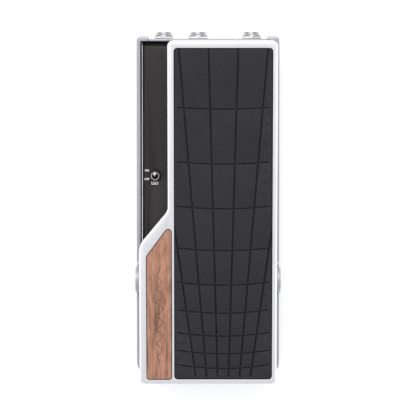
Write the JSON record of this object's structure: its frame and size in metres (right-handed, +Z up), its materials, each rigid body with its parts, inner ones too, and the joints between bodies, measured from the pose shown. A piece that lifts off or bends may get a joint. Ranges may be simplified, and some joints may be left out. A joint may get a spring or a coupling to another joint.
{
  "type": "rocker pedal for electric guitar",
  "caption": "Low floor pedal with a rocking treadle, grooved rubber tread, wood inlay, side cheeks, toe-end jack sockets and a mini toggle switch.",
  "frame": {"origin": "on the floor, at the middle of the length and of the width", "axes": "+Y towards the toe end with the jacks, +X to the right, +Z up"},
  "size_m": [0.1054, 0.2568, 0.076],
  "materials": {
    "cast_silver": "satin, finely blasted",
    "satin_silver": "satin with a fine sparkle",
    "dark_paint": "semi-gloss",
    "tread_rubber": "matte",
    "black_rubber": "matte",
    "walnut": "oiled, grain lengthwise",
    "chrome": "polished",
    "steel": "satin",
    "black_plastic": "satin",
    "white_nylon": "satin",
    "board": "satin",
    "clear_plastic": "frosted",
    "ribbon": "satin"
  },
  "bodies": {
    "base": {"left_cheek": "cast_silver", "right_cheek": "cast_silver", "toe_wall": "cast_silver", "heel_wall": "cast_silver", "housing": "dark_paint", "bottom_plate": "steel", "plate_screw_1": "steel", "plate_screw_2": "steel", "plate_screw_3": "steel", "plate_screw_4": "steel", "foot_1": "black_rubber", "foot_2": "black_rubber", "foot_3": "black_rubber", "foot_4": "black_rubber", "pivot_axle": "steel", "left_axle_cap": "steel", "right_axle_cap": "steel", "first_jack": "black_plastic", "second_jack": "black_plastic", "third_jack": "black_plastic", "first_jack_washer": "chrome", "second_jack_washer": "chrome", "third_jack_washer": "chrome", "first_jack_nut": "chrome", "second_jack_nut": "chrome", "third_jack_nut": "chrome", "power_inlet": "black_plastic", "circuit_board": "board", "board_standoff_1": "steel", "board_standoff_2": "steel", "board_standoff_3": "steel", "board_standoff_4": "steel", "pot_ribbon": "ribbon", "switch_ribbon": "ribbon", "pot_body": "steel", "pot_bracket": "steel", "pot_nut": "steel", "toggle_switch": "chrome", "toggle_nut": "black_plastic", "left_light_bar": "clear_plastic", "right_light_bar": "clear_plastic", "toe_bumper_left": "black_rubber", "toe_bumper_right": "black_rubber", "heel_bumper_left": "black_rubber", "heel_bumper_right": "black_rubber"},
    "treadle": {"treadle_frame": "satin_silver", "tread_pad": "tread_rubber", "wood_inlay": "walnut", "left_hinge_lug": "steel", "right_hinge_lug": "steel", "left_bush": "white_nylon", "right_bush": "white_nylon", "left_lug_screw": "steel", "right_lug_screw": "steel", "sector_gear": "steel", "sector_screw_left": "steel", "sector_screw_right": "steel"},
    "pot_rotor": {"pot_pinion": "white_nylon", "pot_shaft": "steel"},
    "switch_lever": {"toggle_lever": "chrome"}
  },
  "joints": [
    {"name": "treadle_rock", "type": "hinge", "parent": "base", "child": "treadle", "pos_m": [0, -0.0535, 0.0345], "axis": [1, 0, 0], "range_deg": [-8, 6]},
    {"name": "pot_spin", "type": "hinge", "parent": "base", "child": "pot_rotor", "pos_m": [0.0075, 0.00084, 0.02095], "axis": [1, 0, 0], "range_deg": [-80, 106]},
    {"name": "led_switch", "type": "hinge", "parent": "base", "child": "switch_lever", "pos_m": [-0.0387, 0.02252, 0.03037], "axis": [1, 0, 0], "range_deg": [0, 22]}
  ],
  "couplings": [
    {"joint": "pot_spin", "follows": "treadle_rock", "ratio": -13}
  ]
}
